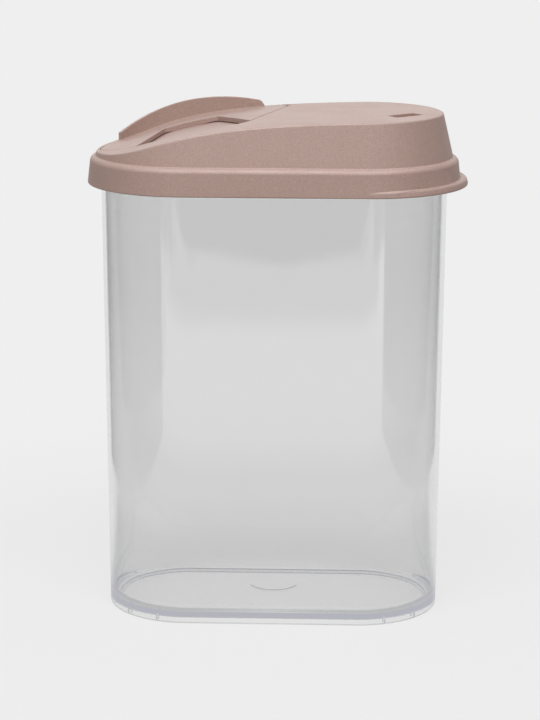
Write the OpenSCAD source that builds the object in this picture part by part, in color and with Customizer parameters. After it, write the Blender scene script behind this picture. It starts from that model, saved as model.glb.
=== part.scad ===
// Clear upright container for dry food with a press-on lid.
// The lid's crown falls in an S-curve to the pouring end, where a hinged flap lies flush over the spout.
// The plan outline is an obround along X, the pouring end points along -X, and the foot stands on z = 0.

/* [Container] */
// Half of the straight run of the plan outline
side_half = 41.5; // [38:0.5:44]
// End radius of the outline at the foot
foot_r = 39.6; // [38.4:0.2:41]
// How far the wall leans out over its height
wall_lean = 2.2; // [1.9:0.1:2.5]
// How far the mouth is wider than the wall, behind the lid's skirt
mouth_step = 2.6; // [2.3:0.1:2.9]
// Height of the slope between wall and mouth
mouth_slope_h = 3; // [2:0.1:4]
// Height of the container's rim above the foot
rim_z = 221.4; // [150:0.1:300]
// Thickness of the container's wall
wall = 1.9; // [1.6:0.1:2.1]
// Thickness of the container's floor
floor_t = 2; // [1.6:0.1:3]
// Height of the floor's underside above the foot
foot_h = 2.6; // [2.2:0.1:6]
// Width of the ring that the container stands on
foot_ring_w = 3; // [2.4:0.1:5]
// Radius of the rounded edge of the foot
foot_edge_r = 1.8; // [1:0.1:2.2]
// Radius of the corner between floor and wall, inside
floor_corner_r = 5.5; // [4:0.5:8]
// How far the rim's bead stands out of the wall
bead_out = 0.6; // [0.4:0.1:0.8]
// Height of the rim's bead
bead_h = 3.5; // [3:0.1:5]
// Thickness of the small ribs inside the foot ring
foot_rib_t = 0.8; // [0.6:0.1:1.2]
// Angles of those ribs from the Y axis, round each end
foot_rib_angles = [22, 49];
// Radius of the round pad on the floor
pad_r = 11.6; // [8:0.1:16]
// Height of the pad over the floor
pad_h = 0.5; // [0.3:0.1:1]
// Distance from the floor's middle back to the pad's middle
pad_y = 12; // [0:1:16]

/* [Lid] */
// Thickness of the skirt's wall
skirt_wall = 1.8; // [1.6:0.1:2]
// How far the skirt narrows up to its shoulder
skirt_draft = 1.2; // [0.8:0.1:1.5]
// How far the skirt hangs down outside the rim
skirt_drop = 10.5; // [8:0.5:13]
// Thickness of the dome's wall
lid_wall = 1.8; // [1.6:0.1:1.9]
// Radius of the rounded shoulder over the skirt
shoulder_r = 2.4; // [2:0.1:2.6]
// Width of the shoulder from the skirt in to the dome's foot
shoulder_w = 2.6; // [2.5:0.1:2.8]
// How far the dome's wall leans in up to the height of the crown
dome_lean = 5.1; // [4.6:0.1:5.4]
// Height of the dome's foot over the rim
dome_foot_up = 2.1; // [2:0.1:2.4]
// Depth of the plug wall inside the container's mouth
plug_drop = 7.5; // [5:0.5:9]
// Thickness of the plug wall
plug_wall = 1.4; // [1.2:0.1:1.6]
// Gap left between the lid and the container
lid_gap = 0.3; // [0.2:0.05:0.4]
// How far the lift tab stands out of the skirt's end
tab_out = 3.4; // [2.5:0.1:5]
// Height of the lift tab
tab_h = 3.6; // [3:0.1:5]
// Radius of the lift tab's rounded upper edge
tab_round = 1.8; // [1:0.1:2.4]

/* [Crown curve] */
// Height of the crown over the dome's foot at the pouring end
low_up = 2.5; // [2.3:0.1:2.9]
// Height of the crown over the dome's foot at the high end
high_up = 21.6; // [19:0.1:25]
// Reach of the curve's handle at the pouring end
low_reach = 42; // [38:0.5:44]
// Rise of the curve over that handle
low_rise = 4; // [3.6:0.1:4.4]
// Reach of the curve's handle at the high end
high_reach = 146; // [140:1:150]
// How far that handle's tip lies over the high end
high_rise = 1.3; // [0.8:0.1:1.8]
// How far the curve runs past the dome at the pouring end
low_over = 2; // [1.8:0.1:2.7]
// How far the curve runs past the dome at the high end
high_over = 3.1; // [2:0.1:4]
// Flat steps along the curve
crown_steps = 28; // [20:1:36]

/* [Flap] */
// Thickness of the flap's plate
flap_t = 2.5; // [2.3:0.1:2.7]
// Width of the lid's edge left outside the flap
lip_w = 1.7; // [1.5:0.1:2.2]
// Gap around the flap
flap_gap = 0.3; // [0.25:0.05:0.4]
// Height of the flap's upper layer, over the inset one
step_h = 1.2; // [1:0.1:1.3]
// Inset of the flap's lower layer
step_in = 0.5; // [0.4:0.1:0.7]
// Near end of the seam between flap and fixed crown
seam_start = [-10.8, -10.8];
// Angle of the seam from the X axis, in plan
seam_angle = 69.8; // [67:0.1:73]
// Radius of the flap's corner at the seam's far end
seam_corner_r = 4.5; // [3.5:0.1:5.5]
// Angle of the flap's tip past the pouring end's middle
tip_angle = 5; // [3:0.5:8]
// Handle of the near edge's curve at the tip
tip_handle = [7, -11];
// Handle of the near edge's curve at the seam
near_handle = [-5, -8.7];
// Reach of the near edge's curve to the left of its belly
belly_reach = 22; // [18:0.5:26]
// Place where the flap's near edge runs along X
flap_belly = [-36, -24.5];
// Left end of the thumb notch at the near edge
notch_left = [-65, -19];
// Inner left corner of the thumb notch
notch_inner_left = [-53.8, 17.6];
// Inner right corner of the thumb notch
notch_inner_right = [-28, 19];
// Radius of the notch's corners
notch_r = 1.6; // [1:0.1:2]
// Height of the arched fin's crest over the crown at the high end
fin_up = 2.2; // [1:0.1:4]
// Radius of the fin's arched crest
fin_crest_r = 92; // [88:1:100]
// X position of the top of the fin's arch
fin_x = -25; // [-27:0.5:-23]
// X position of the fin's left end
fin_left = -76.9; // [-77.4:0.1:-70]
// X position of the fin's right end
fin_right = -6.2; // [-10:0.1:-4]
// Thickness of the fin
fin_t = 1.4; // [1.2:0.1:1.8]
// Thickness of the sealing rib under the flap
rib_t = 1.2; // [1:0.1:1.4]
// Depth of the sealing rib under the flap
rib_h = 2.2; // [1.5:0.1:2.6]
// Gap between the sealing rib and the spout's edge
rib_gap = 1.3; // [1.2:0.1:1.6]

/* [Hinge] */
// Depth of the hinge axis under the crown at the seam
axis_depth = 3.8; // [3.7:0.05:3.9]
// Distance of the hinge axis from the seam
axis_in = 4.2; // [4.1:0.05:4.4]
// Radius of the hinge pins
pin_r = 1.2; // [1:0.05:1.3]
// Radial running clearance of the pins
pin_gap = 0.05; // [0.02:0.01:0.09]
// Radius of the knuckle and of the lugs' eyes
knuckle_r = 2; // [1.9:0.05:2.1]
// Thickness of each hinge lug
lug_t = 3; // [2.6:0.1:3.4]
// Distance from the seam's near end to the first lug
lug_start = 8.5; // [8:0.1:10]
// Distance between the lugs' outer faces
lug_span = 27.2; // [22:0.2:28]
// Thickness of the flap's skin over the lugs
lug_skin = 1; // [0.8:0.1:1.1]

/* [Recess and spout] */
// Gap between the closed flap and the recess floor
rest_gap = 0.3; // [0.2:0.05:0.4]
// Thickness of the recess floor
recess_t = 1.6; // [1.4:0.1:2]
// Width of the ledge round the spout
ledge_w = 4.5; // [4:0.1:6]
// Width of the floor kept between the thumb notch and the spout
bridge_w = 3.2; // [2.6:0.1:4]
// Distance from the hinge axis to the spout
spout_start = 16; // [13:0.5:20]
// Radius of the spout's corners
spout_r = 2.5; // [2:0.1:3]
// Middle of the small slot in the high end of the crown
slot_pos = [62.4, -10.8];
// Length of the slot
slot_l = 16; // [12:0.5:18]
// Width of the slot
slot_w = 8; // [5:0.5:9]
// Angle of the slot from the X axis
slot_angle = 38; // [30:1:50]
// Depth of the slot
slot_depth = 2.2; // [1.6:0.1:2.6]

/* [Hidden] */

$fn = 96;
steps = 6;
eps = 0.01;
spare = 2;
edge_c = 0.4;
crease_h = 0.6;
container_colour = [0.80, 0.81, 0.83, 0.45];
lid_colour = [0.74, 0.64, 0.60];

rim_r = foot_r + wall_lean + mouth_step;
channel_r = rim_r + bead_out + lid_gap;
skirt_top_r = channel_r + skirt_wall;
skirt_r = skirt_top_r + skirt_draft;
dome_foot_r = skirt_top_r - shoulder_w;
dome_top_r = dome_foot_r - dome_lean;
reach = 2 * (side_half + skirt_r);
dome_foot_z = rim_z + dome_foot_up;
low_z = dome_foot_z + low_up;
crown_z = dome_foot_z + high_up;
floor_z = foot_h + floor_t;
skirt_z = rim_z - skirt_drop;
shoulder_z = dome_foot_z - shoulder_r - crease_h;
plug_z = rim_z - plug_drop;
plug_r = rim_r - wall - lid_gap;
mouth_z = plug_z - lid_gap;
neck_z = mouth_z - mouth_slope_h;
neck_r = container_r(neck_z);
roof_z = rim_z + lid_gap;
recess_depth = flap_t + rest_gap;
edge_in = lip_w + flap_gap;

function container_r(z) = foot_r + wall_lean * z / rim_z;
function dome_r(z) = dome_foot_r + (dome_top_r - dome_foot_r) * (z - dome_foot_z) / high_up;
function arc(centre, r, from, to, n = steps) =
    [for (i = [0 : n]) let (a = from + (to - from) * i / n) centre + r * [cos(a), sin(a)]];
function bezier(p, t) = pow(1 - t, 3) * p[0] + 3 * pow(1 - t, 2) * t * p[1]
    + 3 * (1 - t) * t * t * p[2] + pow(t, 3) * p[3];
function curve(p, n) = [for (i = [0 : n]) bezier(p, i / n)];

// Section of the crown in the XZ plane, and its height at any x
low_end = [-side_half - dome_foot_r - low_over, low_z];
high_end = [side_half + dome_top_r + high_over, crown_z];
crown_curve = curve([
    low_end,
    low_end + [low_reach, low_rise],
    high_end + [-high_reach, high_rise],
    high_end], crown_steps);
function crown(x) = lookup(x, crown_curve);

// Hinge axis, a fixed depth under the crown beside the seam: its own X runs along it, its own Y to the flap
seam_dir = [cos(seam_angle), sin(seam_angle)];
seam_left = [-sin(seam_angle), cos(seam_angle)];
seam_len = (edge_y(0) - seam_start[1]) / seam_dir[1];
seam_end = seam_start + seam_len * seam_dir;
axis_tilt = atan((crown(seam_end[0]) - crown(seam_start[0])) / seam_len);
axis_start = seam_start + axis_in * seam_left;
axis_z = crown(seam_start[0]) - axis_depth;
socket_r = norm([axis_in, axis_depth]) + flap_gap;
lug_end = lug_start + lug_span - lug_t;
eye_gap = 0.3;

// Plan outline of the closed flap without its notch: the crown's edge set in, the near edge and the seam
function edge_y(x) = dome_r(crown(x)) - edge_in;
function edge_point(a) =
    [-side_half, 0] + edge_y(-side_half + (dome_foot_r - edge_in) * cos(a)) * [cos(a), sin(a)];
corner_y = edge_y(0) - seam_corner_r;
corner_x = seam_start[0] + (corner_y - seam_start[1]) / tan(seam_angle) - seam_corner_r / sin(seam_angle);
tip = edge_point(180 + tip_angle);
flap_outline = concat(
    [seam_start],
    arc([corner_x, corner_y], seam_corner_r, seam_angle - 90, 90),
    [for (i = [1 : steps]) let (x = corner_x - (corner_x + side_half) * i / steps) [x, edge_y(x)]],
    [for (i = [1 : 4 * steps]) edge_point(90 + (90 + tip_angle) * i / (4 * steps))],
    curve([tip, tip + tip_handle, flap_belly - [belly_reach, 0], flap_belly], 2 * steps),
    curve([flap_belly, flap_belly + [belly_reach / 2, 0], seam_start + near_handle, seam_start], steps));

// An obround body from half of its section, drawn with the radius along X and the height along Y
module obround() {
    for (side = [-1, 1])
        translate([side * side_half, 0, 0]) rotate(-90 * side)
            rotate_extrude(angle = 180) children();
    rotate([90, 0, 90]) linear_extrude(2 * side_half, center = true) {
        children();
        mirror([1, 0]) children();
    }
}

// A section in the XZ plane, run through the whole width
module across() {
    rotate([90, 0, 0]) linear_extrude(2 * reach, center = true) children();
}

// A plan outline, run through the whole height of the lid
module upright() {
    translate([0, 0, skirt_z]) linear_extrude(crown_z - skirt_z + 10 * spare) children();
}

// Everything that lies deeper than `drop` under the crown
module under_crown(drop) {
    across() polygon(concat(
        [[-reach, skirt_z - spare], [-reach, low_z - drop]],
        [for (p = crown_curve) p - [0, drop]],
        [[reach, crown_z - drop], [reach, skirt_z - spare]]));
}

// The layer between two depths under the crown
module crown_layer(from, to) {
    across() polygon(concat(
        [for (p = crown_curve) p - [0, from]],
        [for (i = [crown_steps : -1 : 0]) crown_curve[i] - [0, to]]));
}

module at_hinge() {
    translate([axis_start[0], axis_start[1], axis_z])
        rotate([0, -axis_tilt, seam_angle]) children();
}

// A cylinder on the hinge axis, from one distance along it to another
module on_axis(r, from, to) {
    at_hinge() translate([from, 0, 0]) rotate([0, 90, 0]) cylinder(r = r, h = to - from);
}

// A block in the hinge's own frame
module hinge_block(low, high) {
    at_hinge() translate(low) cube(high - low);
}

module round_corners(r) {
    offset(r = r) offset(delta = -r) children();
}

module blank_2d() {
    polygon(flap_outline);
}

module notch_2d() {
    run_on = 1.4;
    round_corners(notch_r) polygon([
        notch_inner_left, notch_inner_right,
        notch_inner_right + run_on * (seam_start - notch_inner_right),
        notch_inner_left + run_on * (notch_left - notch_inner_left)]);
}

module spout_2d() {
    round_corners(spout_r) difference() {
        offset(delta = -ledge_w) blank_2d();
        offset(delta = bridge_w) notch_2d();
        translate(seam_start) rotate(seam_angle)
            translate([-reach, -reach]) square([2 * reach, reach + axis_in + spout_start]);
    }
}

module obround_2d(r) {
    square([2 * side_half, 2 * r], center = true);
    for (side = [-1, 1]) translate([side * side_half, 0]) circle(r);
}

module container() {
    inner_r = container_r(floor_z) - wall;
    color(container_colour) union() {
        obround() polygon(concat(
            [[foot_r - foot_ring_w, 0]],
            arc([foot_r - foot_edge_r, foot_edge_r], foot_edge_r, -90, 0),
            [[neck_r, neck_z],
             [rim_r, mouth_z],
             [rim_r, rim_z - bead_h],
             [rim_r + bead_out, rim_z - bead_h + bead_out],
             [rim_r + bead_out, rim_z - edge_c],
             [rim_r + bead_out - edge_c, rim_z],
             [rim_r - wall, rim_z],
             [rim_r - wall, mouth_z],
             [neck_r - wall, neck_z]],
            arc([inner_r - floor_corner_r, floor_z + floor_corner_r], floor_corner_r, 0, -90),
            [[0, floor_z], [0, foot_h], [foot_r - foot_ring_w - 0.5, foot_h]]));
        translate([0, pad_y, floor_z - eps]) cylinder(r1 = pad_r + pad_h, r2 = pad_r, h = pad_h + eps);
        foot_ribs();
    }
}

// Small upright ribs that brace the foot ring against the floor
module foot_ribs() {
    rib_l = 0.8 * foot_ring_w;
    for (side = [-1, 1], face = [-1, 1], a = foot_rib_angles)
        translate([side * side_half, 0, 0]) rotate(face * 90 - side * face * a)
            translate([foot_r - foot_ring_w - rib_l, -foot_rib_t / 2, foot_h / 4])
                cube([rib_l + foot_ring_w / 2, foot_rib_t, foot_h]);
}

module lift_tab() {
    tab_r = skirt_r - skirt_draft * tab_h / (shoulder_z - skirt_z);
    translate([side_half + tab_out, 0, 0]) rotate(-90) rotate_extrude(angle = 180)
        polygon(concat(
            [[0, skirt_z], [skirt_r - edge_c, skirt_z], [skirt_r, skirt_z + edge_c]],
            arc([tab_r - tab_round, skirt_z + tab_h - tab_round], tab_round, 0, 90),
            [[0, skirt_z + tab_h]]));
}

module lid_outside() {
    intersection() {
        obround() polygon(concat(
            [[0, skirt_z], [skirt_r - edge_c, skirt_z], [skirt_r, skirt_z + edge_c]],
            arc([skirt_top_r - shoulder_r, shoulder_z], shoulder_r, 0, 78),
            [[dome_foot_r, dome_foot_z],
             [dome_r(crown_z + spare), crown_z + spare],
             [0, crown_z + spare]]));
        under_crown(0);
    }
    lift_tab();
}

// Hollow underside: the channel for the container's rim, the plug wall and the dome's inside
module lid_inside() {
    inner_r = plug_r - plug_wall;
    bend_z = dome_foot_z + (dome_foot_r - lid_wall - inner_r) * high_up / (dome_foot_r - dome_top_r);
    intersection() {
        obround() polygon([
            [0, skirt_z - spare], [skirt_r - skirt_wall, skirt_z - spare],
            [skirt_r - skirt_wall, skirt_z], [channel_r, roof_z], [plug_r, roof_z],
            [plug_r, plug_z], [inner_r, plug_z],
            [inner_r, bend_z],
            [dome_r(crown_z) - lid_wall, crown_z],
            [0, crown_z]]);
        under_crown(lid_wall);
    }
}

// What the hollow leaves standing round the recess, the hinge and the slot
module lid_pockets() {
    intersection() {
        upright() intersection() {
            offset(delta = flap_gap + recess_t) blank_2d();
            obround_2d(plug_r - plug_wall / 2);
        }
        crown_layer(0, recess_depth + recess_t);
    }
    intersection() {
        on_axis(socket_r + recess_t, -recess_t - flap_gap, seam_len + recess_t / 2);
        hinge_block(
            [-spare * 2, -socket_r - recess_t - spare, -socket_r - recess_t - spare],
            [seam_len + recess_t / 2, knuckle_r + 2 * eye_gap + recess_t, socket_r]);
    }
    slot_block(recess_t, slot_depth + recess_t);
}

module slot_block(grow, depth) {
    translate([slot_pos[0], slot_pos[1], crown(slot_pos[0]) - depth])
        rotate(slot_angle) translate([-slot_l / 2 - grow, -slot_w / 2 - grow, 0])
            cube([slot_l + 2 * grow, slot_w + 2 * grow, depth + spare]);
}

// Room under the seam for the flap's nose, which dips as the flap opens, and for its knuckle
module hinge_socket() {
    intersection() {
        on_axis(socket_r, -flap_gap, seam_len - recess_t / 2);
        hinge_block([-spare, -2 * socket_r, -2 * socket_r], [seam_len, 0, socket_r]);
    }
    on_axis(knuckle_r + 2 * eye_gap, lug_start - 2 * eye_gap, lug_end + lug_t + 2 * eye_gap);
}

module hinge_lugs() {
    stem = 0.6 * knuckle_r;
    for (s = [lug_start, lug_end])
        difference() {
            union() {
                on_axis(knuckle_r, s, s + lug_t);
                hinge_block([s, -stem, -socket_r - recess_t / 2], [s + lug_t, stem, 0]);
            }
            on_axis(pin_r + pin_gap, s - 1, s + lug_t + 1);
        }
}

module lid() {
    color(lid_colour) union() {
        difference() {
            lid_outside();
            difference() {
                lid_inside();
                lid_pockets();
            }
            intersection() {
                upright() offset(delta = flap_gap) blank_2d();
                crown_layer(-2 * spare, recess_depth);
            }
            upright() spout_2d();
            hinge_socket();
            slot_block(0, slot_depth);
        }
        hinge_lugs();
    }
}

module flap_plate() {
    difference() {
        union() {
            intersection() {
                upright() difference() { blank_2d(); notch_2d(); }
                crown_layer(0, step_h);
            }
            intersection() {
                upright() offset(delta = -step_in) difference() { blank_2d(); notch_2d(); }
                crown_layer(step_h / 2, flap_t);
            }
        }
        for (s = [lug_start, lug_end])
            intersection() {
                hinge_block(
                    [s - eye_gap, -2 * axis_in, -axis_depth - flap_t],
                    [s + lug_t + eye_gap, knuckle_r + 4 * eye_gap, axis_depth + spare]);
                under_crown(lug_skin);
            }
    }
}

module knuckle() {
    from = lug_start + lug_t + eye_gap;
    to = lug_end - eye_gap;
    pin_l = lug_t + eye_gap - pin_gap;
    on_axis(knuckle_r, from, to);
    on_axis(pin_r, from - pin_l, to + pin_l);
}

// Arched grip along the far edge
module fin() {
    crest_z = crown_z + fin_up;
    crest_round = 0.4;
    root = [0, flap_t / 2];
    foot_x = fin_right + 0.6;
    top_x = fin_right - 1.2;
    intersection() {
        upright() intersection() {
            difference() { blank_2d(); offset(delta = -fin_t) blank_2d(); }
            polygon([
                [fin_left - spare, 0], [-side_half, 0], [fin_right + spare, corner_y],
                [fin_right + spare, reach], [fin_left - spare, reach]]);
        }
        across() round_corners(crest_round) intersection() {
            translate([fin_x, crest_z - fin_crest_r]) circle(fin_crest_r);
            polygon(concat(
                [[fin_left, crest_z], [fin_left, crown(fin_left)] - root],
                [for (p = crown_curve) if (p[0] > fin_left && p[0] < fin_right) p - root],
                [[foot_x, crown(fin_right)] - root, [top_x, crest_z]]));
        }
    }
}

// Rib under the flap that drops inside the spout's edge
module sealing_rib() {
    intersection() {
        upright() difference() {
            offset(delta = -rib_gap) spout_2d();
            offset(delta = -rib_gap - rib_t) spout_2d();
        }
        crown_layer(flap_t - eps, flap_t + rib_h);
    }
}

module pour_flap() {
    color(lid_colour) union() {
        flap_plate();
        knuckle();
        fin();
        sealing_rib();
    }
}

container();
lid();
pour_flap();
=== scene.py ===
"""A clear cereal container with a dusty pink lid and a flush hinged pour flap, on a pale studio floor.

Sizes are in millimetres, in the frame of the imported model: +Z up, the foot on z = 0, the pouring end at -X.
"""
import math

import bmesh
import bpy
import numpy as np
from mathutils import Euler, Matrix, Vector
from mathutils.geometry import delaunay_2d_cdt

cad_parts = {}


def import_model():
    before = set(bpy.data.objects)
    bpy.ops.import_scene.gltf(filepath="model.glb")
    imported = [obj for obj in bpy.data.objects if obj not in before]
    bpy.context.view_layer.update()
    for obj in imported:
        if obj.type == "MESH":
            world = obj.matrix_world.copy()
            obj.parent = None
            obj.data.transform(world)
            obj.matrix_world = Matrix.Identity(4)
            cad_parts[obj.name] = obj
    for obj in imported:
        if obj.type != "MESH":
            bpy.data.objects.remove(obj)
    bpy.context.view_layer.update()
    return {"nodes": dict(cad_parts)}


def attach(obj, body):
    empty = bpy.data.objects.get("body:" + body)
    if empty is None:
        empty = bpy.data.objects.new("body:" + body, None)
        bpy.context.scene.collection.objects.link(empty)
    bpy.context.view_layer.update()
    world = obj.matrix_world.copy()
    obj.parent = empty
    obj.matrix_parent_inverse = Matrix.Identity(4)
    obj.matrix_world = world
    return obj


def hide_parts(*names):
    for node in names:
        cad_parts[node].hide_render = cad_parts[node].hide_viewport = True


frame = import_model()

MM = 0.001
SKIN = 0.1               # how far the smooth skins lie inside the faceted solids
FLAT = 1.5               # width of the flat ring inside the rounded edge of a flat end

# Plan outline: two half circles joined by straight sides
SIDE_HALF = 41.5
END_STEPS = 72
SIDE_STEPS = 40

# Container
FOOT_R = 39.6
WALL_LEAN = 2.2          # how far the wall leans out from the foot to the rim's height
WALL = 1.9
NECK_Z = 210.6           # up to here the wall is straight,
MOUTH_Z = 213.6          # and from here on the mouth has its full width
NECK_ROUND = 3.0
MOUTH_ROUND = 2.0
RIM_R = 44.4
RIM_Z = 221.4
RIM_EDGE = 0.6
BEAD_OUT = 0.6
BEAD_H = 3.5
BEAD_ROUND = 0.5
FLOOR_Z = 4.6
FLOOR_CORNER = 5.5
FOOT_H = 2.8             # depth of the recess under the floor
FOOT_RING = 3.0          # width of the ring round that recess
FOOT_EDGE = 1.8
RING_EDGE = 0.6
RECESS_LEAN = 0.6
RECESS_ROUND = 0.7
RIB_T = 0.8
RIB_L = 0.8 * FOOT_RING
RIB_SUNK = 1.2           # how far a rib reaches into the ring,
RIB_ROOT = 0.6           # and into the floor
RIB_ANGLES = (22, 49)    # degrees from straight ahead and straight behind
PAD_Y = 12.0
PAD_R = 11.6
PAD_H = 0.18
PAD_SUNK = 0.5
PAD_EDGE = ((0.6, -PAD_SUNK), (0.6, 0.03), (0.0, 0.6 * PAD_H), (-0.5, PAD_H))

# Lid
SKIRT_Z = 210.9
SKIRT_R = 48.3
SKIRT_TOP_R = 47.1
SKIRT_EDGE = 0.6
SHOULDER_R = 2.8
SHOULDER_Z = 221.3
SHOULDER_END = 78        # degrees of its arc
CREASE_Z = 224.4         # where the shoulder meets the dome's wall
CREASE_R = 0.3
CREASE_UP = 0.55
TAB_OUT = 3.4
TAB_H = 3.6
TAB_ROUND = 1.8
TAB_LEAN = 0.45
TAB_DIP = 0.02           # how much lower the middle of its top is, inside the lid
DOME_FOOT_Z = 223.5
DOME_FOOT_R = 44.5
DOME_TOP_R = 39.4
HIGH_UP = 21.6
CROWN_Z = 245.1
CROWN_EDGE = 1.0
CROWN_LOW_END = (-2.0, 2.5)      # from the foot of the dome's wall at the pouring end
CROWN_HIGH_END = 3.1             # from the top of that wall at the high end
CROWN_HANDLES = ((42, 4), (-146, 1.3))
LIP_W = 1.7
LIP_ROUND = 0.35
LIP_CUT = 0.5
FLARE_END = math.radians(80)
FLARE_UP = 1.5
# Section (radius, height) of the hoop that fills the faceted skirt out to the smooth one
SKIRT_FILL = ((43.8, 223.2), (45.0, 222.3), (46.2, 220.9), (46.5, 219.8), (47.5, 211.6),
              (49.0, 211.6), (49.0, 225.4), (43.7, 225.4))

# Flap
FLAP_GAP = 0.3
FLAP_EDGE = 0.25
FLAP_INSET = 0.02        # how far the smooth top lies inside the solid's outline
TOP_T = 1.15             # thickness of that smooth top,
TOP_SEAT = 0.8           # and how far under the crown the solid below it starts
BLOCK_X = (-95, 20)      # a block that takes in the whole flap
BLOCK_Y = 60
BLOCK_H = 30
SEAM_START = np.array((-10.8, -10.8))
SEAM_ANGLE = math.radians(69.8)
SEAM_CORNER = 4.5
SEAM_NEAR_R = 0.9
TIP_ANGLE = math.radians(5)
TIP_HANDLE = (7, -11)
NEAR_HANDLE = (-5, -8.7)
BELLY_REACH = 22
BELLY = np.array((-36, -24.5))
NOTCH_LEFT = np.array((-65, -19))
NOTCH_INNER_LEFT = np.array((-53.8, 17.6))
NOTCH_INNER_RIGHT = np.array((-28, 19))
NOTCH_R = 1.6
NOTCH_END_R = 1.0
NOTCH_STEPS = 8          # steps of each rounded corner of the notch
NOTCH_WALL_T = 1.4
NOTCH_WALL_TOP = (0.3, 0.9)      # under the crown, at its face and at its back
NOTCH_WALL_H = 2.65
NOTCH_WALL_PROUD = 0.005
NOTCH_WALL_SHORT = 3.0   # how far from the seam it ends
NOTCH_WALL_END = 0.24    # how much shorter its first and last sections are
NOTCH_GAP = 0.47         # how much shorter it is towards both ends of the notch,
NOTCH_GAP_X = (-52.5, -49.5, -35.5, -31.5)       # outside these places
FIN_T = 1.4
FIN_IN = 0.06            # how far the grip lies inside the flap's edge
FIN_SUNK = 1.2
FIN_UP = 2.2
FIN_CREST_R = 92
FIN_X = -25
FIN_LEFT = -76.9
FIN_RIGHT = -6.2
FIN_ROOT_R = 0.3
FIN_ROOT_END = math.radians(245)
FIN_ROOT_SUNK = 0.04
FIN_ROUND = 0.3
FIN_END = ((2.2, 0.3), (1.9, 0.05))      # reach and drop of the sections of its slanted end
FIN_SLANT = (0.6, 1.8)

# Slot in the high end of the crown
SLOT_POS = (62.4, -10.8)
SLOT_L = 16
SLOT_W = 8
SLOT_DEPTH = 1.4
SLOT_CORNER = 0.5
SLOT_ROUND = 0.35
SLOT_ANGLE = math.radians(38)

SQUARE = ((-1, -1), (1, -1), (1, 1), (-1, 1))


# ---------------------------------------------------------------- plan and section curves

def bezier(p, t):
    """Points of a cubic curve with the four control points p, at the shares t."""
    p = np.asarray(p, float)
    t = np.asarray(t, float)[:, None]
    return ((1 - t) ** 3 * p[0] + 3 * (1 - t) ** 2 * t * p[1]
            + 3 * (1 - t) * t ** 2 * p[2] + t ** 3 * p[3])


def arc(centre, r, start, end, steps):
    """Points of an arc, with both its ends."""
    a = np.linspace(start, end, steps + 1)
    return np.array(centre) + r * np.stack((np.cos(a), np.sin(a)), 1)


LOW_END = np.array((-SIDE_HALF - DOME_FOOT_R, DOME_FOOT_Z)) + CROWN_LOW_END
HIGH_END = np.array((SIDE_HALF + DOME_TOP_R + CROWN_HIGH_END, CROWN_Z))
CROWN = bezier((LOW_END, LOW_END + CROWN_HANDLES[0], HIGH_END + CROWN_HANDLES[1], HIGH_END),
               np.linspace(0, 1, 400))


def crown(x):
    """Height of the smooth crown at x."""
    return np.interp(x, CROWN[:, 0], CROWN[:, 1]) - SKIN


def crown_slope(x):
    """Rise of the crown per millimetre at x."""
    return crown(x + 0.5) - crown(x - 0.5)


def dome_r(z):
    """Radius of the dome's wall at z."""
    return DOME_FOOT_R + (DOME_TOP_R - DOME_FOOT_R) * (z - DOME_FOOT_Z) / HIGH_UP


def container_r(z):
    """Radius of the container's straight wall at z."""
    return FOOT_R + WALL_LEAN * z / RIM_Z


def edge_y(x):
    """Half the width of the closed flap's outline at x, on the straight sides."""
    return dome_r(crown(x) + SKIN) - LIP_W - FLAP_GAP


def edge_point(a):
    """Point of the flap's outline round the pouring end, in the direction a."""
    reach = edge_y(-SIDE_HALF + (DOME_FOOT_R - LIP_W - FLAP_GAP) * np.cos(a))
    return np.array((-SIDE_HALF, 0)) + reach * np.array((math.cos(a), math.sin(a)))


# ---------------------------------------------------------------- outlines

def rounded(corners, steps):
    """A closed outline from corners (x, y, radius), in which each radius becomes an arc."""
    out = []
    for i, (x, y, r) in enumerate(corners):
        p = np.array((x, y), float)
        to_a = np.array(corners[i - 1][:2], float) - p
        to_b = np.array(corners[(i + 1) % len(corners)][:2], float) - p
        if r <= 0:
            out.append(p)
            continue
        la, lb = np.linalg.norm(to_a), np.linalg.norm(to_b)
        to_a, to_b = to_a / la, to_b / lb
        half = 0.5 * math.acos(max(-1.0, min(1.0, float(to_a @ to_b))))
        t = min(r / math.tan(half), 0.48 * min(la, lb))
        r = t * math.tan(half)
        middle = (to_a + to_b) / np.linalg.norm(to_a + to_b)
        centre = p + middle * r / math.sin(half)
        va, vb = p + to_a * t - centre, p + to_b * t - centre
        start = math.atan2(va[1], va[0])
        turn = math.atan2(va[0] * vb[1] - va[1] * vb[0], float(va @ vb))
        out.extend(arc(centre, r, start, start + turn, steps))
    return np.array(out)


def dense(points, step, closed=True):
    """An outline with further points on its long straight parts, so that it can follow the crown."""
    out = []
    ends = np.roll(points, -1, 0) if closed else points[1:]
    for p, q in zip(points, ends):
        count = max(1, math.ceil(np.linalg.norm(q - p) / step))
        out.extend(p + (q - p) * i / count for i in range(count))
    if not closed:
        out.append(points[-1])
    return np.array(out)


def inset(points, d):
    """A closed counter-clockwise outline moved inwards by d."""
    before = points - np.roll(points, 1, 0)
    after = np.roll(points, -1, 0) - points
    before /= np.linalg.norm(before, axis=1)[:, None]
    after /= np.linalg.norm(after, axis=1)[:, None]
    n0 = np.stack((-before[:, 1], before[:, 0]), 1)
    n1 = np.stack((-after[:, 1], after[:, 0]), 1)
    share = np.maximum(1 + (n0 * n1).sum(1), 0.4)
    return points + d * (n0 + n1) / share[:, None]


def inside(points, outline):
    """Which points lie inside the closed outline."""
    x, y = points[:, 0][:, None], points[:, 1][:, None]
    ax, ay = outline[:, 0], outline[:, 1]
    bx, by = np.roll(ax, -1), np.roll(ay, -1)
    crossing = (ay > y) != (by > y)
    with np.errstate(divide="ignore", invalid="ignore"):
        at = ax + (y - ay) * (bx - ax) / (by - ay)
    return (crossing & (x < at)).sum(1) % 2 == 1


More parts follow.
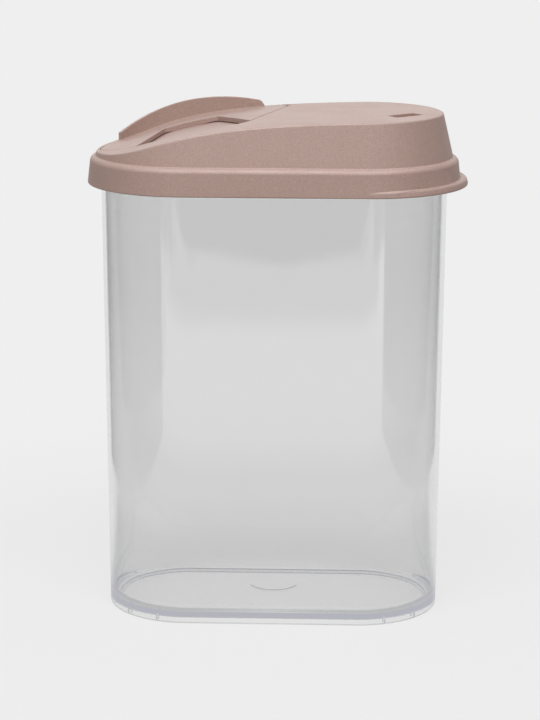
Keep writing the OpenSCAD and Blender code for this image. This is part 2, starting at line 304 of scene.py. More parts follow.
def fill(outline, step):
    """Triangles inside a closed outline, with a grid of inner points: (inner points, triangles)."""
    low, high = outline.min(0), outline.max(0)
    xs = np.arange(low[0] + step / 2, high[0], step)
    ys = np.arange(low[1] + step / 2, high[1], step)
    grid = np.array([(x, y) for x in xs for y in ys]).reshape(-1, 2)
    grid = grid[inside(grid, outline)]
    gap = np.linalg.norm(grid[:, None] - outline[None], axis=2).min(axis=1, initial=1e9)
    grid = grid[gap > 0.55 * step]
    every = np.concatenate((outline, grid))
    n = len(outline)
    edges = [(i, (i + 1) % n) for i in range(n)]
    found = delaunay_2d_cdt([Vector(p) for p in every], edges, [], 1, 1e-7)
    first = [min(o) if o else None for o in found[3]]
    faces = [[first[i] for i in f] for f in found[2]]
    middles = np.array([every[f].mean(0) for f in faces])
    keep = inside(middles, outline)
    return grid, [f for f, k in zip(faces, keep) if k]


# ---------------------------------------------------------------- meshes

def new_piece(name, points, faces):
    """A new piece from points in millimetres."""
    mesh = bpy.data.meshes.new(name)
    mesh.from_pydata([tuple(p * MM) for p in points], [], [tuple(f) for f in faces])
    mesh.validate()
    mesh.update()
    piece = bpy.data.objects.new(name, mesh)
    bpy.context.scene.collection.objects.link(piece)
    return piece


def walls(count, n, closed=False):
    """Faces from each of the rings of n points to the next, and from the last to the first if closed."""
    faces = []
    for k in range(count if closed else count - 1):
        low, high = k * n, (k + 1) % count * n
        for i in range(n):
            j = (i + 1) % n
            faces.append((low + i, low + j, high + j, high + i))
    return faces


def solid(name, rings, floor, ceiling, step):
    """A closed solid from rings of points, lowest first, and the height functions of its two ends."""
    n = len(rings[0])
    points = [p for one in rings for p in one]
    faces = walls(len(rings), n)
    last = (len(rings) - 1) * n
    for end, base, height, turn in ((rings[0], 0, floor, -1), (rings[-1], last, ceiling, 1)):
        inner, triangles = fill(end[:, :2], step)
        start = len(points)
        points.extend(np.column_stack((inner, height(inner))))
        for f in triangles:
            at = [base + i if i < n else start + i - n for i in f]
            a, b, c = (np.array(points[i])[:2] for i in at[:3])
            up = (b[0] - a[0]) * (c[1] - a[1]) - (b[1] - a[1]) * (c[0] - a[0]) > 0
            faces.append(at if up == (turn > 0) else at[::-1])
    return new_piece(name, np.array(points), faces)


def draped(name, rings, step):
    """A closed solid that follows the crown, from (outline, height over the crown) pairs, lowest first."""
    low, high = rings[0][1], rings[-1][1]
    rings = [np.column_stack((outline, crown(outline[:, 0]) + up)) for outline, up in rings]
    return solid(name, rings, lambda p: crown(p[:, 0]) + low, lambda p: crown(p[:, 0]) + high, step)


def band(name, sections):
    """A solid lofted through closed sections, with flat ends."""
    n = len(sections[0])
    faces = walls(len(sections), n)
    faces.append(tuple(reversed(range(n))))
    last = (len(sections) - 1) * n
    faces.append(tuple(last + i for i in range(n)))
    return new_piece(name, np.concatenate(sections), faces)


def settle(piece):
    """Applies the piece's modifiers."""
    shown = piece.evaluated_get(bpy.context.evaluated_depsgraph_get())
    mesh = bpy.data.meshes.new_from_object(shown)
    piece.modifiers.clear()
    piece.data = mesh


def outward(piece):
    """Joins doubled points and turns all faces outwards."""
    bm = bmesh.new()
    bm.from_mesh(piece.data)
    bmesh.ops.remove_doubles(bm, verts=bm.verts, dist=1e-7)
    bmesh.ops.recalc_face_normals(bm, faces=bm.faces)
    bm.to_mesh(piece.data)
    bm.free()


def combine(piece, tool, how):
    """Joins, cuts or intersects a piece with a tool, which is used up."""
    outward(tool)
    change = piece.modifiers.new("combine", "BOOLEAN")
    change.operation = how
    change.solver = "MANIFOLD"
    change.object = tool
    settle(piece)
    mesh = tool.data
    bpy.data.objects.remove(tool)
    bpy.data.meshes.remove(mesh)


def copy_of(node, name):
    """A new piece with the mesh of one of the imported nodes."""
    piece = bpy.data.objects.new(name, frame["nodes"][node].data.copy())
    bpy.context.scene.collection.objects.link(piece)
    outward(piece)
    return piece


def smooth(piece, degrees=32):
    """Smooth shading with the flat faces kept flat."""
    piece.data.shade_smooth()
    piece.data.set_sharp_from_angle(angle=math.radians(degrees))
    weigh = piece.modifiers.new("weigh", "WEIGHTED_NORMAL")
    weigh.keep_sharp = True
    weigh.weight = 80


# ---------------------------------------------------------------- obround rings

def stations():
    """Centres and outward directions round the obround, counter-clockwise."""
    centres, ways = [], []
    for side in (1, -1):
        for i in range(END_STEPS):
            a = math.radians(-90 * side + 180 * i / END_STEPS)
            centres.append((side * SIDE_HALF, 0))
            ways.append((math.cos(a), math.sin(a)))
        for i in range(SIDE_STEPS):
            centres.append((side * SIDE_HALF * (1 - 2 * i / SIDE_STEPS), 0))
            ways.append((0, side))
    return np.array(centres, float), np.array(ways, float)


CENTRES, WAYS = stations()


def ring(r, z):
    """The obround of radius r at z; both may differ from station to station."""
    r = np.broadcast_to(r, len(CENTRES))
    z = np.broadcast_to(z, len(CENTRES))
    return np.column_stack((CENTRES + WAYS * r[:, None], z))


def level(z):
    """The height function of a flat end."""
    return lambda p: np.full(len(p), z)


# ---------------------------------------------------------------- container

def container_piece():
    """The container: one section swept round the obround, with the pad on its floor and ribs under it."""
    low_r = FOOT_R - FOOT_RING
    neck_r = container_r(NECK_Z)
    bead = RIM_R + BEAD_OUT
    section = rounded([
        (0, FOOT_H, 0),
        (low_r - RECESS_LEAN, FOOT_H, RECESS_ROUND),
        (low_r, 0, RING_EDGE),
        (FOOT_R, 0, FOOT_EDGE),
        (neck_r, NECK_Z, NECK_ROUND),
        (RIM_R, MOUTH_Z, MOUTH_ROUND),
        (RIM_R, RIM_Z - BEAD_H, BEAD_ROUND),
        (bead, RIM_Z - BEAD_H + BEAD_OUT, BEAD_ROUND),
        (bead, RIM_Z, RIM_EDGE),
        (RIM_R - WALL, RIM_Z, RIM_EDGE),
        (RIM_R - WALL, MOUTH_Z, MOUTH_ROUND),
        (neck_r - WALL, NECK_Z, NECK_ROUND),
        (container_r(FLOOR_Z) - WALL, FLOOR_Z, FLOOR_CORNER),
        (0, FLOOR_Z, 0)], 9)[1:-1]
    rings = [ring(r, z) for r, z in section]
    rings.insert(0, ring(section[0][0] - FLAT, section[0][1]))
    rings.append(ring(section[-1][0] - FLAT, section[-1][1]))
    body = solid("container_body", rings, level(FOOT_H), level(FLOOR_Z), 6)
    outward(body)
    combine(body, pad(), "UNION")
    for side in (-1, 1):
        for face in (-1, 1):
            for degrees in RIB_ANGLES:
                a = math.radians(face * 90 - side * face * degrees)
                combine(body, rib(np.array((side * SIDE_HALF, 0)), a, low_r), "UNION")
    return body


def pad():
    """The low round pad on the floor."""
    rings = []
    for out, up in PAD_EDGE:
        circle = arc((0, PAD_Y), PAD_R + out, 0, 2 * math.pi * 71 / 72, 71)
        rings.append(np.column_stack((circle, np.full(72, FLOOR_Z + up))))
    return solid("pad", rings, level(FLOOR_Z - PAD_SUNK), level(FLOOR_Z + PAD_H), 4)


def rib(middle, a, ring_r):
    """One radial rib between the foot ring and the floor, in the direction a from the middle of its end."""
    way = np.array((math.cos(a), math.sin(a)))
    across = np.array((-math.sin(a), math.cos(a)))
    near, far = ring_r - RIB_L, ring_r + RIB_SUNK
    half = RIB_T / 2
    plan = np.array([middle + way * d + across * t for d, t in (
        (near, -half), (far, -half), (far, half), (near, half))])
    low, high = FOOT_H / 4, FOOT_H + RIB_ROOT
    rings = [np.column_stack((plan, np.full(4, z))) for z in (low, high)]
    return solid("rib", rings, level(low), level(high), 9)


# ---------------------------------------------------------------- lid

def crown_edge():
    """Where the dome's wall meets the crown: radius, height and the crown's slope outwards, by station."""
    r = np.full(len(CENTRES), DOME_TOP_R)
    for _ in range(40):
        x = CENTRES[:, 0] + WAYS[:, 0] * r
        r = dome_r(crown(x))
    x = CENTRES[:, 0] + WAYS[:, 0] * r
    return r - SKIN, crown(x), crown_slope(x) * WAYS[:, 0]


def dome_rings():
    """Rings up the dome's wall, over its rounded edge and onto the crown."""
    lean = (DOME_TOP_R - DOME_FOOT_R) / HIGH_UP
    r0, z0, slope = crown_edge()
    down = np.array((-lean, -1)) / math.hypot(lean, 1)
    rings = []
    inwards = np.stack((-np.ones_like(slope), -slope), 1)
    inwards /= np.linalg.norm(inwards, axis=1)[:, None]
    half = 0.5 * np.arccos(inwards @ down)
    height = z0 - CREASE_Z
    t = np.minimum(CROWN_EDGE / np.tan(half), 0.5 * height)
    radius = t * np.tan(half)
    corner = np.stack((r0, z0), 1)
    middle = inwards + down
    middle /= np.linalg.norm(middle, axis=1)[:, None]
    centre = corner + middle * (radius / np.sin(half))[:, None]
    start = corner + down * t[:, None]
    end = corner + inwards * t[:, None]
    foot_z = CREASE_Z + CREASE_UP
    foot_r = dome_r(foot_z) - SKIN
    for k in range(6):
        share = k / 6
        z = foot_z + (start[:, 1] - foot_z) * share
        rings.append(ring(foot_r + (start[:, 0] - foot_r) * share, z))
    whole = np.pi - 2 * half
    for k in range(9):
        a = k / 8
        part_a = np.sin((1 - a) * whole) / np.sin(whole)
        part_b = np.sin(a * whole) / np.sin(whole)
        p = centre + part_a[:, None] * (start - centre) + part_b[:, None] * (end - centre)
        rings.append(ring(p[:, 0], p[:, 1]))
    return rings


def lid_outside():
    """The lid's smooth outside as one solid: skirt, shoulder, dome and lift tab."""
    middle = (SKIRT_TOP_R - SHOULDER_R - SKIN, SHOULDER_Z)
    shoulder = arc(middle, SHOULDER_R, 0, math.radians(SHOULDER_END), 10)
    above = CREASE_Z + CREASE_UP
    crease = rounded([
        (*shoulder[-1], 0),
        (dome_r(CREASE_Z) - SKIN, CREASE_Z, CREASE_R),
        (dome_r(above) - SKIN, above, 0)], 6)[1:-1]
    edge_r = SKIRT_R - SKIN
    lower = rounded([
        (edge_r - FLAT, SKIRT_Z, 0),
        (edge_r, SKIRT_Z, SKIRT_EDGE),
        (*shoulder[0], 0)], 6)[:-1]
    rings = [ring(r, z) for r, z in np.concatenate((lower, shoulder, crease))]
    body = solid("outside", rings + dome_rings(), level(SKIRT_Z), lambda p: crown(p[:, 0]), 2.0)
    outward(body)
    combine(body, tab(edge_r), "UNION")
    return body


def tab(edge_r):
    """The lift tab: a half disc under the skirt's high end."""
    top_z = SKIRT_Z + TAB_H
    section = rounded([
        (0, SKIRT_Z, 0),
        (edge_r, SKIRT_Z, SKIRT_EDGE),
        (edge_r - TAB_LEAN, top_z, TAB_ROUND),
        (0, top_z, 0)], 8)[1:-1]
    rings = []
    for r, z in section:
        edge = arc((SIDE_HALF + TAB_OUT, 0), r, -math.pi / 2, math.pi / 2, END_STEPS)
        rings.append(np.column_stack((edge, np.full(len(edge), z))))
    return solid("tab", rings, level(SKIRT_Z), level(top_z - TAB_DIP), 5)


def flared(outline, depth, radius):
    """Rings of a cutter whose upper edge flares out, so that what it leaves has a rounded edge."""
    rings = [(outline, -depth), (outline, -radius)]
    for k in range(1, 7):
        a = FLARE_END * k / 6
        rings.append((inset(outline, -radius * (1 - math.cos(a))), -radius * (1 - math.sin(a))))
    rings.append((inset(outline, -radius * 1.1), FLARE_UP))
    return rings


def hoop(name, section):
    """A closed ring of one closed section of (radius, z) points round the obround."""
    points = np.concatenate([ring(r, z) for r, z in section])
    return new_piece(name, points, walls(len(section), len(CENTRES), closed=True))


def slot_outline():
    """The slot's outline, turned and put in its place."""
    c, s = math.cos(SLOT_ANGLE), math.sin(SLOT_ANGLE)
    corners = [(x * SLOT_L / 2, y * SLOT_W / 2, SLOT_CORNER) for x, y in SQUARE]
    turned = rounded(corners, 3) @ np.array(((c, s), (-s, c)))
    return dense(turned + np.array(SLOT_POS), 1.0)


def lid_piece():
    """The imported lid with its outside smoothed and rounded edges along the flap's opening and the slot."""
    body = copy_of("lid", "lid_body")
    combine(body, hoop("skirt", SKIRT_FILL), "UNION")
    combine(body, lid_outside(), "INTERSECT")
    opening = inset(blank_outline(), -FLAP_GAP - FLAP_INSET)
    combine(body, draped("lip", flared(opening, LIP_ROUND + LIP_CUT, LIP_ROUND), 3), "DIFFERENCE")
    combine(body, draped("slot", flared(slot_outline(), SLOT_DEPTH, SLOT_ROUND), 3), "DIFFERENCE")
    return body


# ---------------------------------------------------------------- flap

def far_edge():
    """The flap's outline from the seam round the far side to the tip."""
    corner_y = float(edge_y(0)) - SEAM_CORNER
    corner_x = (SEAM_START[0] + (corner_y - SEAM_START[1]) / math.tan(SEAM_ANGLE)
                - SEAM_CORNER / math.sin(SEAM_ANGLE))
    corner = arc((corner_x, corner_y), SEAM_CORNER, SEAM_ANGLE - math.pi / 2, math.pi / 2, 12)
    xs = np.linspace(corner_x, -SIDE_HALF, 30)[1:]
    side = np.column_stack((xs, edge_y(xs)))
    ways = np.linspace(math.pi / 2, math.pi + TIP_ANGLE, END_STEPS)[1:]
    end = np.array([edge_point(a) for a in ways])
    return np.concatenate((corner, side, end))


def near_edge(tip):
    """The near side of the flap's outline: from the tip to its belly, and on to the seam."""
    left = bezier((tip, tip + TIP_HANDLE, BELLY - (BELLY_REACH, 0), BELLY), np.linspace(0, 1, 40))
    right = bezier((BELLY, BELLY + (BELLY_REACH / 2, 0), SEAM_START + NEAR_HANDLE, SEAM_START),
                   np.linspace(0, 1, 30))
    return left, right


def seam_points():
    """Points along the straight seam, without its far end."""
    far = far_edge()[0]
    count = 14
    return np.array([SEAM_START + (far - SEAM_START) * i / count for i in range(count)])


def blank_outline():
    """The flap's outline without its notch."""
    far = far_edge()
    left, right = near_edge(far[-1])
    return np.concatenate((seam_points(), far, left[1:], right[1:-1]))


def flap_outline():
    """The flap's outline with its notch, counter-clockwise from the near end of the seam."""
    far = far_edge()
    left, _ = near_edge(far[-1])
    way = NOTCH_LEFT - NOTCH_INNER_LEFT
    side = (left[:, 0] - NOTCH_INNER_LEFT[0]) * way[1] - (left[:, 1] - NOTCH_INNER_LEFT[1]) * way[0]
    kept = left[1:][np.sign(side[1:]) == np.sign(side[0])]
    p, q = kept[-1], left[1 + len(kept)]
    t = np.linalg.solve(np.column_stack((q - p, -way)), NOTCH_INNER_LEFT - p)[0]
    meet = p + t * (q - p)
    corners = [(*meet, NOTCH_END_R), (*NOTCH_INNER_LEFT, NOTCH_R), (*NOTCH_INNER_RIGHT, NOTCH_R),
               (*SEAM_START, SEAM_NEAR_R)]
    plain = np.concatenate((seam_points()[1:], far, kept[:-3]))      # leaves room for the first corner
    outline = rounded([(x, y, 0) for x, y in plain] + corners, NOTCH_STEPS)
    keep = np.linalg.norm(outline - np.roll(outline, 1, 0), axis=1) > 1e-4
    return outline[keep]


def crest(x):
    """Height of the grip's arched crest at x."""
    return CROWN_Z + FIN_UP - SKIN - FIN_CREST_R + np.sqrt(FIN_CREST_R ** 2 - (x - FIN_X) ** 2)


def trimmed(path, low, high):
    """The part of a path of falling x between x = high and x = low, with exact ends."""
    def at(x):
        return np.array((x, np.interp(-x, -path[:, 0], path[:, 1])))
    room = 0.3
    kept = path[(path[:, 0] < high - room) & (path[:, 0] > low + room)]
    return np.concatenate(([at(high)], kept, [at(low)]))


def fin_solid():
    """The arched grip on the flap's far edge, cut square at its low end and aslant at its high end."""
    outline = far_edge()
    path = trimmed(outline[outline[:, 1] > 0], FIN_LEFT, FIN_RIGHT - FIN_END[0][0])
    path = np.concatenate(([path[0] + (reach, 0) for reach, _ in FIN_END], path))
    drops = [drop for _, drop in FIN_END] + [0.0]
    way = np.gradient(path, axis=0)
    way /= np.linalg.norm(way, axis=1)[:, None]
    inwards = np.stack((-way[:, 1], way[:, 0]), 1)
    sections = []
    for i, (p, n) in enumerate(zip(path, inwards)):
        base = float(crown(p[0]))
        height = float(crest(p[0])) - base - drops[min(i, 2)]
        root = min(FIN_ROOT_R, 0.7 * height)
        top = height - FIN_ROUND
        profile = [(FIN_IN, -FIN_SUNK), (FIN_IN, top)]
        profile += list(arc((FIN_IN + FIN_ROUND, top), FIN_ROUND, math.pi, math.pi / 2, 4)[1:])
        profile += list(arc((FIN_T - FIN_ROUND, top), FIN_ROUND, math.pi / 2, 0, 4))
        profile += list(arc((FIN_T + root, root - FIN_ROOT_SUNK), root, math.pi, FIN_ROOT_END, 8))
        profile += [(FIN_T + 0.6 * root, -FIN_SUNK)]
        section = []
        for d, h in profile:
            q = p + n * d
            surface = float(crown(q[0])) - base if d > 1 else 0.0
            fade = min(1.0, max(0.0, 1 - h / max(height, 1e-6)))
            slant = FIN_SLANT[0] - FIN_SLANT[1] * max(h, 0.0) / height if i < 2 else 0.0
            section.append((q[0] + slant, q[1], base + h + surface * fade))
        sections.append(np.array(section))
    return band("fin", sections)


def notch_wall(outline):
    """The thicker edge the flap has along its notch, which all but meets the lid's recess."""
    corner = NOTCH_STEPS + 1
    seam = len(outline) - corner
    path = list(outline[seam - 2 * corner - 1:seam])
    step = outline[seam] - path[-1]
    path.append(outline[seam] - NOTCH_WALL_SHORT * step / np.linalg.norm(step))
    path = dense(np.array(path), 1.0, closed=False)
    way = np.gradient(path, axis=0)
    way /= np.linalg.norm(way, axis=1)[:, None]
    inwards = np.stack((-way[:, 1], way[:, 0]), 1)
    sections = []
    for k, (p, n) in enumerate(zip(path, inwards)):
        low = NOTCH_WALL_H - NOTCH_GAP * np.interp(p[0], NOTCH_GAP_X, (1, 0, 0, 1))
        low -= NOTCH_WALL_END if k in (0, len(path) - 1) else 0.0
        face = p - n * NOTCH_WALL_PROUD
        back = p + n * NOTCH_WALL_T
        face_z, back_z = float(crown(face[0])), float(crown(back[0]))
        sections.append(np.array([
            (*face, face_z - low), (*face, face_z - NOTCH_WALL_TOP[0]),
            (*back, back_z - NOTCH_WALL_TOP[1]), (*back, back_z - low)]))
    return band("notch_wall", sections)


def flap_piece():
    """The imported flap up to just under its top, with a smooth top, the grip and the notch's wall."""
    body = copy_of("pour_flap", "flap_body")
    xs = np.linspace(*BLOCK_X, 116)
    ys = np.full(len(xs), BLOCK_Y)
    block = np.concatenate((np.column_stack((xs, -ys)), np.column_stack((xs[::-1], ys))))
    combine(body, draped("lower", [(block, -BLOCK_H), (block, -TOP_SEAT)], 4), "INTERSECT")
    outline = flap_outline()
    edge = dense(outline, 1.0)
    rings = [(inset(edge, FLAP_INSET), -TOP_T), (inset(edge, FLAP_INSET), -FLAP_EDGE)]
    for k in range(1, 7):
        a = math.radians(90) * k / 6
        d = FLAP_INSET + FLAP_EDGE * (1 - math.cos(a))
        rings.append((inset(edge, d), -FLAP_EDGE * (1 - math.sin(a))))
    top = draped("top", rings, 2.0)
    outward(top)
    combine(top, fin_solid(), "UNION")
    combine(body, top, "UNION")
    combine(body, notch_wall(outline), "UNION")
    return body


# ---------------------------------------------------------------- materials

PINK = (0.404, 0.264, 0.221, 1)
PINK_DARK = (0.318, 0.204, 0.168, 1)
GRAIN = 0.5              # size of the grain in mm, its depth and its strength
GRAIN_DEPTH = 0.08
GRAIN_STRENGTH = 0.6
MATT = (0.58, 0.64)      # roughness of the plastic, which changes slowly over its surface
MATT_SCALE = 60.0
NOISE = (0.3, 0.7)       # the part of a noise texture's range that is used
CLEAR = (0.877, 0.879, 0.877, 1)
CLEAR_IOR = 1.57
FLOW_SCALE = 14.0
FLOW_STRENGTH = 0.05
PAINTED_GLOW = (0.48, 0.482, 0.54, 1)  # painted glow: an emission that stands in for light mirrored inside the clear walls,
PAINTED_GLOW_DEPTH = 3                 # on rays mirrored this many times or more


def new_material(name):
    material = bpy.data.materials.new(name)
    material.use_nodes = True
    return material, material.node_tree


def node(tree, kind, links=(), **settings):
    """A new node; an input in links is linked where its value is a socket and set where it isn't."""
    made = tree.nodes.new("ShaderNode" + kind)
    for key, value in settings.items():
        setattr(made, key, value)
    for key, value in dict(links).items():
        if isinstance(value, bpy.types.NodeSocket):
            tree.links.new(value, made.inputs[key])
        else:
            made.inputs[key].default_value = value
    return made


def maths(tree, operation, *values):
    """The result of one Math node."""
    return node(tree, "Math", dict(enumerate(values)), operation=operation).outputs[0]


def product(tree, *values):
    """The product of two or more values."""
    total = values[0]
    for value in values[1:]:
        total = maths(tree, "MULTIPLY", total, value)
    return total


def length(tree, vector):
    """The length of a vector."""
    return node(tree, "VectorMath", {0: vector}, operation="LENGTH").outputs["Value"]


def mixed(tree, share, a, b):
    """The value a, or b where the share is 1."""
    return node(tree, "Mix", {"Factor": share, "A": a, "B": b}).outputs["Result"]


def ramp(tree, value, start, end, low=0.0, high=1.0):
    """A value brought from start..end to low..high with soft ends."""
    made = node(tree, "MapRange", {"Value": value, "From Min": start, "From Max": end,
                                   "To Min": low, "To Max": high}, interpolation_type="SMOOTHSTEP")
    return made.outputs["Result"]


def moulded(name, light, dark):
    """Matte moulded plastic with a spark-eroded grain, a little mottled."""
    material, tree = new_material(name)
    shader = tree.nodes["Principled BSDF"]
    place = node(tree, "TexCoord").outputs["Object"]
    fine = node(tree, "TexNoise", {"Vector": place, "Scale": 1 / (GRAIN * MM), "Detail": 2.0}).outputs["Fac"]
    wide = node(tree, "TexNoise", {"Vector": place, "Scale": MATT_SCALE, "Detail": 2.0}).outputs["Fac"]
    tone = node(tree, "Mix", {"Factor": ramp(tree, fine, *NOISE)}, data_type="RGBA")
    tone.inputs["A"].default_value = light
    tone.inputs["B"].default_value = dark
    tree.links.new(tone.outputs["Result"], shader.inputs["Base Color"])
    shader.inputs["Specular IOR Level"].default_value = 1.0
    tree.links.new(ramp(tree, wide, *NOISE, *MATT), shader.inputs["Roughness"])
    bump = node(tree, "Bump", {"Height": fine, "Strength": GRAIN_STRENGTH, "Distance": GRAIN_DEPTH * MM})
    tree.links.new(bump.outputs["Normal"], shader.inputs["Normal"])
    return material


def clear(name):
    """Clear styrene plastic with slight flow marks; rays mirrored inside its walls end on a painted, faintly
    blue glow.
    """
    material, tree = new_material(name)
    shader = tree.nodes["Principled BSDF"]
    shader.inputs["Base Color"].default_value = CLEAR
    shader.inputs["Roughness"].default_value = 0.0
    shader.inputs["IOR"].default_value = CLEAR_IOR
    shader.inputs["Transmission Weight"].default_value = 1.0
    place = node(tree, "TexCoord").outputs["Object"]
    flow = node(tree, "TexNoise", {"Vector": place, "Scale": FLOW_SCALE})
    bump = node(tree, "Bump", {"Height": flow.outputs["Fac"], "Strength": FLOW_STRENGTH, "Distance": MM})
    tree.links.new(bump.outputs["Normal"], shader.inputs["Normal"])
    # painted glow: rays mirrored this many times inside the walls get a faintly blue emission instead of the
    # plastic
    depth = node(tree, "LightPath").outputs["Glossy Depth"]
    painted_glow = node(tree, "Emission", {"Color": PAINTED_GLOW})
    mix = node(tree, "MixShader", {0: maths(tree, "GREATER_THAN", depth, PAINTED_GLOW_DEPTH - 0.5),
                                   1: shader.outputs[0], 2: painted_glow.outputs[0]})
    tree.links.new(mix.outputs[0], tree.nodes["Material Output"].inputs["Surface"])
    return material


def paint(piece, material):
    piece.data.materials.clear()
    piece.data.materials.append(material)


# ---------------------------------------------------------------- studio

BACKGROUND = 0.8632      # linear brightness of the pale sweep
FLOOR_SIZE = 8000
FLOOR_WHITE = 0.87
SHADOW_SHARE = 0.16      # how much of the object's shadow shows on the floor,
SHADOW_FADE = (0.1, 0.4)         # up to this far from the middle
BOUNCE = 0.58            # reflectance of the floor for the light it sends back up
AMBIENT = 0.36

# What clear and glossy surfaces mirror is painted on the floor, in metres with -Y in front of the
# object: a bright sheet with dark edges. A wedge (spread, start, end) is 0 up to its start and 1 from its
# end on, in |x| + spread * y, or the other way round where the end is the smaller one.
SHEET_X = 0.008
SHEET_EDGE = (0.266, 0.286)      # where the sheet's sides end,
SHEET_BOW = 0.37                 # and how they close in towards its front and back
SHEET_FRONT = (0.662, 0.0155, 0.0355)
SHEET_BACK = (1.2, 0.09, 0.13)   # in -y + spread * |x|
FLAG = (0.30, 0.03)              # brightness beside the sheet, near the object and far from it
FLAG_REACH = (0.35, 0.9)
FAR_EDGE = (0.833, 0.893)        # how far in front the sheet ends in the middle,
FAR_X = 0.02
FAR_SLANT = 0.8
FAR_WEDGE = (0.36, 0.01, -0.01)
FAR_OUTER = (0.74, 0.90, 0.0, 0.8)       # and where it gets dark outside this wedge
FAR_TONE = 0.03
STEP = (0.59, 0.70, 0.0, 0.47)   # a darker step before the end
STEP_WEDGE = (0.53, 0.01, -0.01)
OVAL = (0.69, 1.0, 1.0)          # painted shadow: the sheet gets darker round the object in ovals of this shape
OVAL_SHADOW_TONES = ((0.045, 0.55), (0.095, 0.35), (0.15, 0.2), (0.20, 0.46), (0.265, 0.79), (0.37, 1.0))
# What is seen straight through the clear walls is the plain sweep with one soft, slightly darker oval, a
# painted shadow round the object
PAINTED_SHADOW_OVAL = ((0.035, 0.065), (0.17, 0.07))
PAINTED_SHADOW_DEPTH = 0.095
BEHIND_EDGE = (0.5, 0.0, 0.06)


def wedge(tree, across, along, spread, start, end):
    """A soft step in across + spread * along."""
    return ramp(tree, maths(tree, "MULTIPLY_ADD", along, spread, across), start, end)


def oval_tone(tree, oval):
    """Brightness of the sheet at each oval: a painted shadow round the object."""
    made = node(tree, "ValToRGB", {0: oval})
    made.color_ramp.interpolation = "EASE"
    stops = made.color_ramp.elements
    while len(stops) < len(OVAL_SHADOW_TONES):
        stops.new(0.5)
    for stop, (at, tone) in zip(stops, OVAL_SHADOW_TONES):
        stop.position = at
        stop.color = (tone, tone, tone, 1)
    return made.outputs["Color"]


def studio_sheet(tree, place):
    """Painted brightness of the floor for rays that come from clear or glossy surfaces, with painted shadow
    round the object.
    """
    axes = node(tree, "SeparateXYZ", {0: place})
    x, y = axes.outputs["X"], axes.outputs["Y"]
    ahead = maths(tree, "MULTIPLY", y, -1.0)
    aside = maths(tree, "ABSOLUTE", x)

    from_middle = maths(tree, "ABSOLUTE", maths(tree, "SUBTRACT", x, SHEET_X))
    beside = ramp(tree, maths(tree, "ADD", from_middle, product(tree, y, y, SHEET_BOW)), *SHEET_EDGE)
    not_front = wedge(tree, aside, y, *SHEET_FRONT)
    not_behind = wedge(tree, ahead, aside, *SHEET_BACK)
    sides = product(tree, beside, not_front, not_behind)

    inner = wedge(tree, aside, y, *FAR_WEDGE)
    slant = product(tree, maths(tree, "ABSOLUTE", maths(tree, "ADD", x, FAR_X)), FAR_SLANT)
    middle_end = product(tree, ramp(tree, maths(tree, "SUBTRACT", ahead, slant), *FAR_EDGE), inner)
    outer_end = product(tree, ramp(tree, ahead, *FAR_OUTER), maths(tree, "SUBTRACT", 1.0, inner))
    far = maths(tree, "ADD", middle_end, outer_end)
    step = product(tree, ramp(tree, ahead, *STEP), wedge(tree, aside, y, *STEP_WEDGE))

    # painted shadow: the mirrored sheet darkens round the object in ovals
    stretched = node(tree, "VectorMath", {0: place, 1: OVAL}, operation="MULTIPLY").outputs["Vector"]
    oval = length(tree, stretched)
    white = product(tree, oval_tone(tree, oval), maths(tree, "SUBTRACT", 1.0, step))
    front = mixed(tree, far, white, FAR_TONE)
    # painted shadow: a soft darker oval on the plain sweep that is seen straight through the walls
    painted_shadow = product(tree, ramp(tree, oval, *PAINTED_SHADOW_OVAL[0]), ramp(tree, oval, *PAINTED_SHADOW_OVAL[1]))
    behind = maths(tree, "MULTIPLY_ADD", painted_shadow, -PAINTED_SHADOW_DEPTH * BACKGROUND, BACKGROUND)
    tone = mixed(tree, wedge(tree, ahead, aside, *BEHIND_EDGE), behind, front)

    flag = ramp(tree, length(tree, place), *FLAG_REACH, *FLAG)
    sharp = mixed(tree, sides, tone, flag)
    soft = mixed(tree, sides, BACKGROUND, flag)
    path = node(tree, "LightPath")
    mirrored = mixed(tree, path.outputs["Is Singular Ray"], soft, sharp)
    is_mirrored = maths(tree, "GREATER_THAN", path.outputs["Glossy Depth"], 0.5)
    return mixed(tree, is_mirrored, behind, mirrored)


def studio_floor():
    """A plain floor with a faint shadow, on which clear and glossy surfaces see the painted studio."""
    corners = np.array([(x, y, 0) for x, y in SQUARE]) * FLOOR_SIZE / 2
    ground = new_piece("floor", corners, [(0, 1, 2, 3)])
    material, tree = new_material("floor")
    tree.nodes.remove(tree.nodes["Principled BSDF"])
    place = node(tree, "TexCoord").outputs["Object"]
    lit = node(tree, "BsdfDiffuse", {"Color": (*(FLOOR_WHITE,) * 3, 1)})
    plain = node(tree, "Emission", {"Color": (*(BACKGROUND,) * 3, 1)})
    plain_share = ramp(tree, length(tree, place), *SHADOW_FADE, 1 - SHADOW_SHARE, 1.0)
    seen = node(tree, "MixShader", {0: plain_share, 1: lit.outputs[0], 2: plain.outputs[0]})
    mirrored = node(tree, "Emission", {"Strength": studio_sheet(tree, place)})
    path = node(tree, "LightPath")
    clear_rays = maths(tree, "MAXIMUM", path.outputs["Is Glossy Ray"], path.outputs["Is Transmission Ray"])
    bounce = node(tree, "BsdfDiffuse", {"Color": (*(BOUNCE,) * 3, 1)})
    other = node(tree, "MixShader", {0: clear_rays, 1: bounce.outputs[0], 2: mirrored.outputs[0]})
    is_seen = path.outputs["Is Camera Ray"]
    whole = node(tree, "MixShader", {0: is_seen, 1: other.outputs[0], 2: seen.outputs[0]})
    tree.links.new(whole.outputs[0], tree.nodes["Material Output"].inputs["Surface"])
    paint(ground, material)


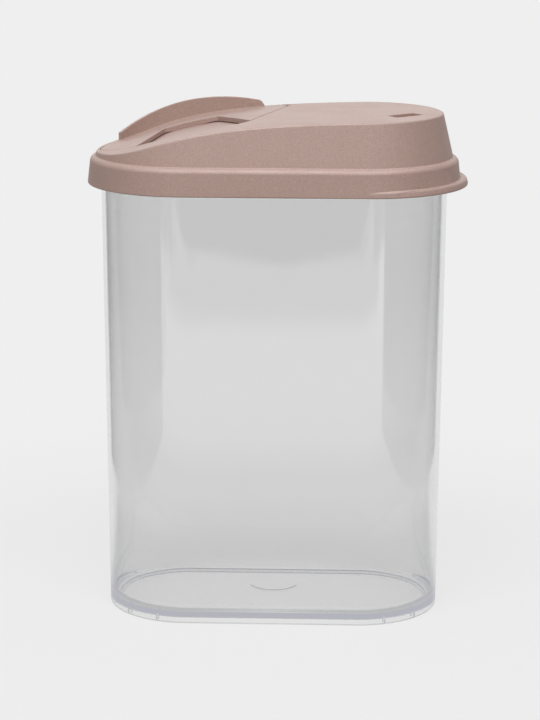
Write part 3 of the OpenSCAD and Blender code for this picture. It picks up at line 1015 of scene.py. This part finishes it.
def world():
    """The pale studio all round; what it gives as light is less than what is seen of it."""
    sky = bpy.data.worlds.new("studio")
    bpy.context.scene.world = sky
    sky.use_nodes = True
    tree = sky.node_tree
    path = node(tree, "LightPath")
    seen = maths(tree, "MAXIMUM", path.outputs["Is Camera Ray"], path.outputs["Is Transmission Ray"])
    seen = maths(tree, "MAXIMUM", seen, path.outputs["Is Glossy Ray"])
    background = tree.nodes["Background"]
    background.inputs["Color"].default_value = (1, 1, 1, 1)
    tree.links.new(ramp(tree, seen, 0.0, 1.0, AMBIENT, BACKGROUND), background.inputs["Strength"])


LAMP_AIM = (0, 0, 0.2)
KEY = ((-0.05, -0.9, 1.4), (2.0, 0.7), 18.5)     # place, size and power
TOP_SHEEN = ((0, -0.2, 1.5), (1.6, 1.5), 26)
BACK_SHEEN = ((0, 1.5, 0.75), (1.8, 0.5), 5)

LENS = 123.5
CAMERA_AT = (0.0391, -1.1757, 0.40207)
CAMERA_DOWN = 13.355     # degrees under the horizon
CAMERA_LEFT = 1.99       # degrees from +Y towards -X
CAMERA_ROLL = 0.1455


def lamp(name, place, size, power, diffuse=True):
    """A soft area lamp; one without diffuse light only adds sheen."""
    data = bpy.data.lights.new(name, "AREA")
    data.shape = "RECTANGLE"
    data.size, data.size_y = size
    data.energy = power
    piece = bpy.data.objects.new(name, data)
    piece.location = place
    piece.rotation_euler = (Vector(LAMP_AIM) - Vector(place)).to_track_quat("-Z", "Y").to_euler()
    piece.visible_diffuse = diffuse
    piece.visible_transmission = False
    bpy.context.scene.collection.objects.link(piece)


def camera():
    """The camera, fitted to the foot's and the rim's ellipses in the photograph."""
    data = bpy.data.cameras.new("camera")
    data.lens = LENS
    data.sensor_width = 36
    data.clip_end = 50
    piece = bpy.data.objects.new("camera", data)
    piece.location = CAMERA_AT
    aim = Euler((math.radians(90 - CAMERA_DOWN), 0, math.radians(CAMERA_LEFT))).to_matrix()
    piece.rotation_euler = (aim @ Matrix.Rotation(math.radians(CAMERA_ROLL), 3, "Z")).to_euler()
    bpy.context.scene.collection.objects.link(piece)
    bpy.context.scene.camera = piece


bpy.context.scene.view_settings.view_transform = "Standard"
camera()
world()
studio_floor()
lamp("key", *KEY)
lamp("top_sheen", *TOP_SHEEN, diffuse=False)
lamp("back_sheen", *BACK_SHEEN, diffuse=False)

lid_plastic = moulded("lid_plastic", PINK, PINK_DARK)
flap_plastic = moulded("flap_plastic", PINK, PINK_DARK)
clear_plastic = clear("clear_plastic")

container = container_piece()
smooth(container, 40)
paint(container, clear_plastic)
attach(container, "container")
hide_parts("container")

lid = lid_piece()
smooth(lid)
paint(lid, lid_plastic)
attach(lid, "lid")
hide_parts("lid")

flap = flap_piece()
smooth(flap)
paint(flap, flap_plastic)
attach(flap, "flap")
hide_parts("pour_flap")
